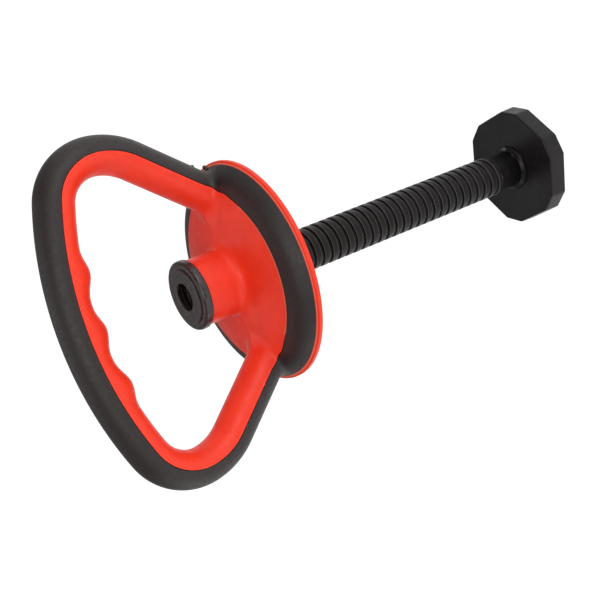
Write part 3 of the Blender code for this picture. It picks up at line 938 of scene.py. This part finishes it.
def thread_profile(crest, root, widen):
    """(radius, height) points over one pitch: a wide, slightly crowned crest and a round-bottomed groove.

    The crest reaches further up and down by widen, which gives a nut's thread its clearance.
    """
    drops = (  # height from the crest's middle, and how far the thread has dropped there, from 0 to 1
        (0.0, 0.0),
        (0.6, 0.0),
        (1.1, 0.005),
        (1.4, 0.01),
        (1.62, 0.03),
        (1.78, 0.08),
        (1.92, 0.2),
        (2.08, 0.42),
        (2.3, 0.75),
        (2.5, 0.93),
        (2.75, 0.99),
    )
    half = [(crest - drop * (crest - root), height + widen * (height > 1)) for height, drop in drops]
    lower = [(radius, -height) for radius, height in reversed(half[1:])]
    return lower + half + [(root, PITCH / 2)]


def helix(crest, root, low, high, widen=0.0, fade_from=None):
    """Points and faces of a right-hand screw, capped at both ends, and a plain shank below fade_from."""
    segments = 72
    fade_length = 2.4
    profile = thread_profile(crest, root, widen)
    size = len(profile)
    turns = math.ceil((high - low) / PITCH)
    first_turn = math.floor(low / PITCH)
    last = turns * segments
    points = []
    for i in range(last + 1):
        angle = math.tau * i / segments
        rise = PITCH * (first_turn + i / segments) + CREST_OFFSET
        for radius, offset in profile:
            height = rise + offset
            if fade_from is not None:
                part = min(1.0, max(0.0, (height - fade_from) / fade_length))
                radius = root + (radius - root) * part * part * (3 - 2 * part)
            points.append((radius * math.cos(angle), radius * math.sin(angle), height))
    faces = []
    for i in range(last):
        here = size * i
        for k in range(size - 1):
            faces.append([here + k, here + size + k, here + size + k + 1, here + k + 1])
        above = here + size * segments
        if above + size < len(points):
            faces.append([here + size - 1, here + 2 * size - 1, above + size, above])
    bottom = [size * i for i in range(segments + 1)] + list(range(size - 1, 0, -1))
    top = [size * i + size - 1 for i in range(last - segments, last + 1)]
    top += [size * last + k for k in range(size - 2, -1, -1)]
    for edge, end in ((bottom, first_turn), (top, first_turn + turns)):
        points.append((0.0, 0.0, PITCH * end + CREST_OFFSET))
        for i, corner in enumerate(edge):
            faces.append([corner, edge[(i + 1) % len(edge)], len(points) - 1])
    return points, faces


def thread_sleeve(look):
    """The bolt's black plastic: a plain shank and a thread, bored for the steel bolt and its head."""
    low = FOOT_THICKNESS + FOOT_GAP
    wide = THREAD_RADIUS + 1.5
    screw = helix(THREAD_RADIUS, ROOT_RADIUS, low - PITCH, SLEEVE_TOP + PITCH, fade_from=THREAD_START - 0.4)
    sleeve = mesh_object("bolt_thread", *screw)
    trim = [
        (0, low),
        (wide, low),
        (wide, SLEEVE_TOP - SLEEVE_CHAMFER),
        (10.8, SLEEVE_TOP),
        (0, SLEEVE_TOP),
    ]
    combine(sleeve, mesh_object("cut_trim", *turned(trim)), "INTERSECT")
    seat = SLEEVE_TOP - CORE_HEAD_DEPTH
    above = SLEEVE_TOP + 9
    bore = [
        (0, 0),
        (CORE_HOLE_RADIUS, 0),
        (CORE_HOLE_RADIUS, seat),
        (CORE_HEAD_RADIUS, seat),
        (CORE_HEAD_RADIUS, above),
        (0, above),
    ]
    combine(sleeve, mesh_object("cut_bore", *turned(bore, 64)), "DIFFERENCE")
    finished(sleeve, look, "bolt", "black_plastic", "thread_sleeve", sharp=50)


def thrust_washer(look):
    """A low ring round the shank, with a sloping shoulder."""
    low = FOOT_THICKNESS + FOOT_GAP
    inner = ROOT_RADIUS + 0.12
    top = low + 2.8
    ring = [(inner, low), (inner + 3.1, low), (inner + 2.9, low + 1.2), (inner + 0.9, top), (inner, top)]
    washer = mesh_object("foot_washer", *turned(rounded(ring, [0, 0.2, 1.2, 0.8, 0.1], 8)))
    finished(washer, look, "washer", "black_plastic", "thrust_washer")


def hexagon_ring(across_flats, height):
    """The corners of a level hexagon."""
    radius = across_flats / 2 / math.cos(math.pi / 6)
    angles = [math.tau * i / 6 for i in range(6)]
    return [(radius * math.cos(angle), radius * math.sin(angle), height) for angle in angles]


def hex_foot(look):
    """A hexagonal block with cut corners, bored for the steel bolt, its nut and the plug."""
    rings = []
    for radius, height in zip(FOOT_RADII, (0.0, FOOT_THICKNESS)):
        outline = []
        for i in range(6):
            for side in (-CUT_CORNER, CUT_CORNER):
                angle = math.radians(FOOT_TURN + 60 * i + side)
                outline.append((radius * math.cos(angle), radius * math.sin(angle), height))
        rings.append(outline)
    foot = mesh_object("foot_block", *skinned(rings))
    soften = foot.modifiers.new("soften", "BEVEL")
    soften.width = 1.3 * MM
    soften.segments = 5
    soften.limit_method = "ANGLE"
    soften.angle_limit = math.radians(15)
    plug_room = 2.0
    above = FOOT_THICKNESS + 7.6
    room = [
        (0, -5),
        (PLUG_RADIUS + FOOT_GAP, -5),
        (PLUG_RADIUS + FOOT_GAP, plug_room),
        (CORE_HOLE_RADIUS, plug_room),
        (CORE_HOLE_RADIUS, above),
        (0, above),
    ]
    combine(foot, mesh_object("cut_room", *turned(room, 96)), "DIFFERENCE")
    nut_room = [hexagon_ring(CORE_NUT_ROOM, height) for height in CORE_NUT_ROOM_HEIGHTS]
    combine(foot, mesh_object("cut_nut_room", *skinned(nut_room)), "DIFFERENCE")
    finished(foot, look, "bolt", "black_plastic", "hex_foot")
    even = foot.modifiers.new("even", "WEIGHTED_NORMAL")
    even.keep_sharp = True
    even.weight = 80


def foot_plug(look):
    """A flat disc that covers the nut from below."""
    low, high = 0.3, 1.9
    outline = [(0, low), (PLUG_RADIUS, low), (PLUG_RADIUS, high), (0, high)]
    plug = mesh_object("foot_cover", *turned(rounded(outline, [0, 0.4, 0.1, 0]), 96))
    finished(plug, look, "bolt", "black_plastic", "foot_plug")


# ---------------------------------------------------------------- stage, light and camera


def add_camera():
    """Looks down at the hub from the front, rolled so that the bolt runs away to the upper right."""
    data = bpy.data.cameras.new("camera")
    camera = bpy.data.objects.new("camera", data)
    bpy.context.scene.collection.objects.link(camera)
    data.lens = 68.36
    data.sensor_width = 36
    data.clip_start = 0.01
    camera.location = Vector((32.4, -559.85, 517.12)) * MM
    camera.rotation_euler = [math.radians(angle) for angle in (-34.257, 52.969, -124.554)]
    bpy.context.scene.camera = camera


def softbox(name, direction, power):
    """A round lamp 1 m across that stands off from the object's middle in this direction and faces it."""
    data = bpy.data.lights.new(name, "AREA")
    data.shape = "DISK"
    data.size = 1.0
    data.energy = power
    lamp = bpy.data.objects.new(name, data)
    bpy.context.scene.collection.objects.link(lamp)
    away = Vector(direction).normalized()
    lamp.location = (OBJECT_MIDDLE + LAMP_DISTANCE * away) * MM
    lamp.rotation_euler = (-away).to_track_quat("-Z", "Y").to_euler()


def add_lights():
    softbox("key", (0.7, -0.8, 0.2), 6.9)
    softbox("front", (0.0, -0.6, 0.8), 7.6)
    softbox("low", (-0.7, -0.8, 0.2), 3.3)
    softbox("side", (-1.0, 0.0, 0.15), 4.3)
    softbox("back", (0.0, 0.55, 0.8), 2.4)
    softbox("upper", (1.0, 0.0, 0.15), 1.9)


def add_world():
    """Plain white to the camera, and a dimmer surround for what lights the object."""
    world = bpy.data.worlds.new("studio")
    bpy.context.scene.world = world
    world.use_nodes = True
    tree = world.node_tree
    background = tree.nodes["Background"]
    background.inputs["Color"].default_value = (1, 1, 1, 1)
    path = tree.nodes.new("ShaderNodeLightPath")
    level = tree.nodes.new("ShaderNodeMapRange")
    level.inputs["To Min"].default_value = 0.27
    level.inputs["To Max"].default_value = 1.1
    tree.links.new(path.outputs["Is Camera Ray"], level.inputs["Value"])
    tree.links.new(level.outputs["Result"], background.inputs["Strength"])
    bpy.context.scene.view_settings.view_transform = "Standard"


def add_floor():
    """A pale floor that lights the object from below. The camera sees through it, to show the underside."""
    half = 4000
    sides = ((-half, -half), (half, -half), (half, half), (-half, half))
    corners = [(x, y, FLOOR_HEIGHT) for x, y in sides]
    floor = mesh_object("floor", corners, [[0, 1, 2, 3]])
    if floor.data.polygons[0].normal.z < 0:
        floor.data.flip_normals()
    made, _, shader = new_material("pale_floor", (0.9, 0.9, 0.9), 0.9, specular=0.1)
    shader.inputs["Emission Color"].default_value = (1, 1, 1, 1)
    shader.inputs["Emission Strength"].default_value = 0.45
    floor.data.materials.append(made)
    floor.visible_camera = False


# ---------------------------------------------------------------- the scene


def paint_steel(frame, look):
    """Gives the small steel pieces, which keep their CAD shape, their finish."""
    for name in ("core_bolt", "core_nut", "retaining_screw_1", "retaining_screw_2", "retaining_screw_3"):
        node = frame["nodes"][name]
        node.data.materials.clear()
        node.data.materials.append(look)


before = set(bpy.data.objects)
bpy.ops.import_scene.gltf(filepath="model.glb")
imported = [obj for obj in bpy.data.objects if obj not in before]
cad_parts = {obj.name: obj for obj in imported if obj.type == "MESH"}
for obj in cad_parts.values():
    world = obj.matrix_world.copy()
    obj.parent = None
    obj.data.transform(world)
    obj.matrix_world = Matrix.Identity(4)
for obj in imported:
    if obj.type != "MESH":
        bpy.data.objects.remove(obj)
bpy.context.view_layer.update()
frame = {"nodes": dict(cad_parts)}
add_camera()
add_world()
add_lights()
add_floor()
steel = zinc_steel()
paint_steel(frame, steel)
handle_core(red_plastic())
grip_skin(soft_skin())
hub_black = hub_plastic()
hub_nut(hub_black)
hub_end_cap(hub_black)
nut_retaining_plate(steel)
bolt_black = bolt_plastic()
foot_black = foot_plastic()
thread_sleeve(bolt_black)
thrust_washer(bolt_black)
hex_foot(foot_black)
foot_plug(foot_black)
